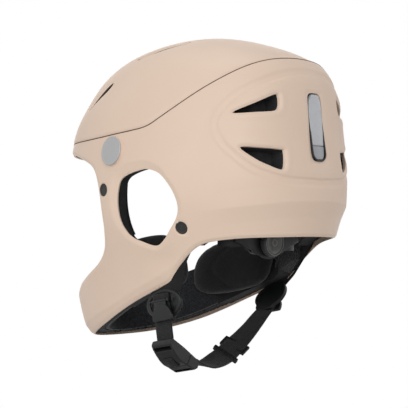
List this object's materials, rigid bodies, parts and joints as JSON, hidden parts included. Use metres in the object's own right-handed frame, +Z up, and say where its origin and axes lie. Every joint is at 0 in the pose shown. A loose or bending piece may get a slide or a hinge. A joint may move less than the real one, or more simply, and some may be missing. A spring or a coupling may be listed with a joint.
{
  "type": "full face helmet",
  "caption": "Full face cycling helmet with two-piece shell, ear openings, rear light, dial-fit nape cradle, padded liner and buckled chin strap.",
  "frame": {"origin": "centre of the head cavity on the symmetry plane, level with the wearer's temples", "axes": "+Z up towards the crown, -Y out of the face port, +X towards the wearer's left"},
  "size_m": [0.2314, 0.3335, 0.3307],
  "materials": {
    "shell": "satin",
    "seam": "matt",
    "foam": "matt bead foam",
    "padding": "knitted",
    "cheek_cloth": "smooth knit",
    "disc": "satin",
    "steel": "plain",
    "plug": "satin",
    "black_plastic": "satin",
    "lens": "gloss",
    "lens_dark": "satin",
    "board": "satin",
    "lamp": "gloss",
    "cell": "satin",
    "knob": "satin",
    "cam": "satin",
    "key": "satin",
    "webbing": "ribbed weave"
  },
  "bodies": {
    "helmet": {"brow_disc_left": "disc", "brow_disc_right": "disc", "brow_pad": "padding", "buckle_body": "black_plastic", "buckle_tongue": "black_plastic", "cheek_pad_left": "cheek_cloth", "cheek_pad_right": "cheek_cloth", "chin_block": "foam", "chin_lining": "padding", "cradle_hanger": "black_plastic", "crown_pad": "padding", "crown_shell": "shell", "dial_housing": "black_plastic", "dial_screw": "steel", "divider_pins": "steel", "divider_plate_left": "black_plastic", "divider_plate_right": "black_plastic", "front_plugs": "plug", "front_strap_left": "webbing", "front_strap_right": "webbing", "jaw_block_left": "foam", "jaw_block_right": "foam", "light_board": "board", "light_cell": "cell", "light_lamps": "lamp", "light_lens": "lens", "light_tray": "black_plastic", "lower_shell": "shell", "main_liner": "foam", "nape_pad": "padding", "rear_pad": "padding", "rear_plugs": "plug", "rear_strap_left": "webbing", "rear_strap_right": "webbing", "seam_gasket": "seam", "seat_screws": "steel", "side_pad_left": "padding", "side_pad_right": "padding", "strap_bolts": "steel", "strap_keeper": "black_plastic", "strap_slider": "black_plastic", "visor_seat_left": "shell", "visor_seat_right": "shell", "web_left": "webbing", "web_right": "webbing"},
    "fit_dial_body": {"fit_dial": "knob"},
    "fit_band_left_body": {"fit_band_left": "black_plastic"},
    "fit_band_right_body": {"fit_band_right": "black_plastic"},
    "light_button_body": {"light_button": "lens_dark"},
    "divider_cam_left_body": {"divider_cam_left": "cam"},
    "divider_cam_right_body": {"divider_cam_right": "cam"},
    "buckle_key_body": {"buckle_key": "key"}
  },
  "joints": [
    {"name": "dial_turn", "type": "hinge", "parent": "helmet", "child": "fit_dial_body", "pos_m": [0, 0.072, -0.0755], "axis": [0, 0.9781, -0.2079], "range_deg": [-71.6, 71.6]},
    {"name": "band_left_slide", "type": "slide", "parent": "helmet", "child": "fit_band_left_body", "axis": [1, 0, 0], "range_m": [-0.005, 0.005]},
    {"name": "band_right_slide", "type": "slide", "parent": "helmet", "child": "fit_band_right_body", "axis": [-1, 0, 0], "range_m": [-0.005, 0.005]},
    {"name": "light_button_press", "type": "slide", "parent": "helmet", "child": "light_button_body", "axis": [0, -1, 0], "range_m": [0, 0.0007], "stiffness_N_per_m": 500},
    {"name": "cam_left_swing", "type": "hinge", "parent": "helmet", "child": "divider_cam_left_body", "pos_m": [0.0872, -0.0015, -0.121], "axis": [0, -1, 0], "range_deg": [0, 80]},
    {"name": "cam_right_swing", "type": "hinge", "parent": "helmet", "child": "divider_cam_right_body", "pos_m": [-0.08031, -0.0015, -0.12019], "axis": [0, 1, 0], "range_deg": [0, 80]},
    {"name": "buckle_key_press", "type": "slide", "parent": "helmet", "child": "buckle_key_body", "axis": [-0.5807, 0, 0.8141], "range_m": [0, 0.0015], "stiffness_N_per_m": 600}
  ],
  "couplings": [
    {"joint": "band_left_slide", "follows": "dial_turn", "m_per_rad": 0.004},
    {"joint": "band_right_slide", "follows": "dial_turn", "m_per_rad": 0.004}
  ]
}
